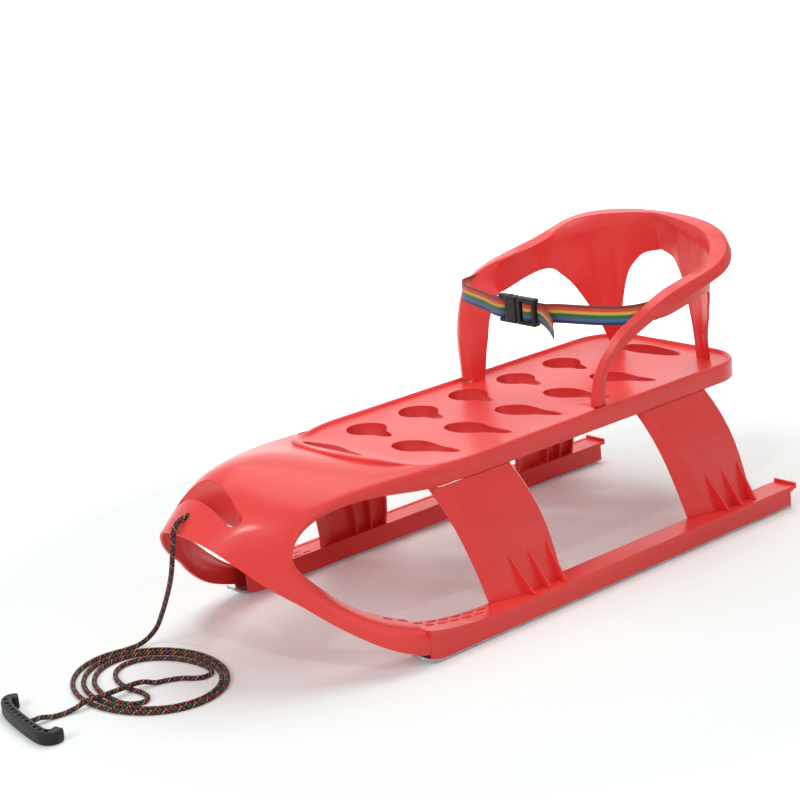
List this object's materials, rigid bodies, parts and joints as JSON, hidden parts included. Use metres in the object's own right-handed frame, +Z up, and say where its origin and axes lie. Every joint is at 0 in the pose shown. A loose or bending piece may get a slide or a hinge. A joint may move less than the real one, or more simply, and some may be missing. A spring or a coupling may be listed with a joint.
{
  "type": "plastic sled",
  "caption": "Moulded child's snow sled with steel-shod runners, clip-on backrest, lap belt with side-release buckle, and a coiled tow rope with handle.",
  "frame": {"origin": "on the snow, midway between the tip of the nose and the rear edge and midway between the runners (the rope is not counted)", "axes": "+Z up, -Y forwards towards the nose, +X to the rider's left"},
  "size_m": [0.386, 1.07, 0.3939],
  "materials": {
    "coral_plastic": "glossy injection moulding",
    "backrest_plastic": "glossy injection moulding",
    "zinc_steel": "rolled and zinc plated",
    "belt_webbing": "woven, striped along its length",
    "black_plastic": "fine grained",
    "rope_cord": "braided"
  },
  "bodies": {
    "sled": {"seat_deck": "coral_plastic", "nose_shell": "coral_plastic", "left_toe_arm": "coral_plastic", "right_toe_arm": "coral_plastic", "left_front_leg": "coral_plastic", "right_front_leg": "coral_plastic", "left_rear_leg": "coral_plastic", "right_rear_leg": "coral_plastic", "left_runner_beam": "coral_plastic", "right_runner_beam": "coral_plastic", "left_steel_runner": "zinc_steel", "right_steel_runner": "zinc_steel", "left_runner_rivet_1": "zinc_steel", "left_runner_rivet_2": "zinc_steel", "left_runner_rivet_3": "zinc_steel", "left_runner_rivet_4": "zinc_steel", "right_runner_rivet_1": "zinc_steel", "right_runner_rivet_2": "zinc_steel", "right_runner_rivet_3": "zinc_steel", "right_runner_rivet_4": "zinc_steel", "tow_rope_lead": "rope_cord", "tow_rope_coil": "rope_cord", "tow_rope_tail": "rope_cord", "rope_stop_knot": "rope_cord", "pull_handle": "black_plastic"},
    "backrest": {"backrest": "backrest_plastic", "strap_left": "belt_webbing", "strap_right": "belt_webbing", "buckle_female": "black_plastic"},
    "buckle_male": {"buckle_male": "black_plastic"}
  },
  "joints": [
    {"name": "backrest_lift", "type": "slide", "parent": "sled", "child": "backrest", "axis": [0, 0, 1], "range_m": [0, 0.08]},
    {"name": "buckle_release", "type": "slide", "parent": "backrest", "child": "buckle_male", "axis": [1, 0, 0], "range_m": [0, 0.022], "deforming": ["strap_left"]}
  ]
}
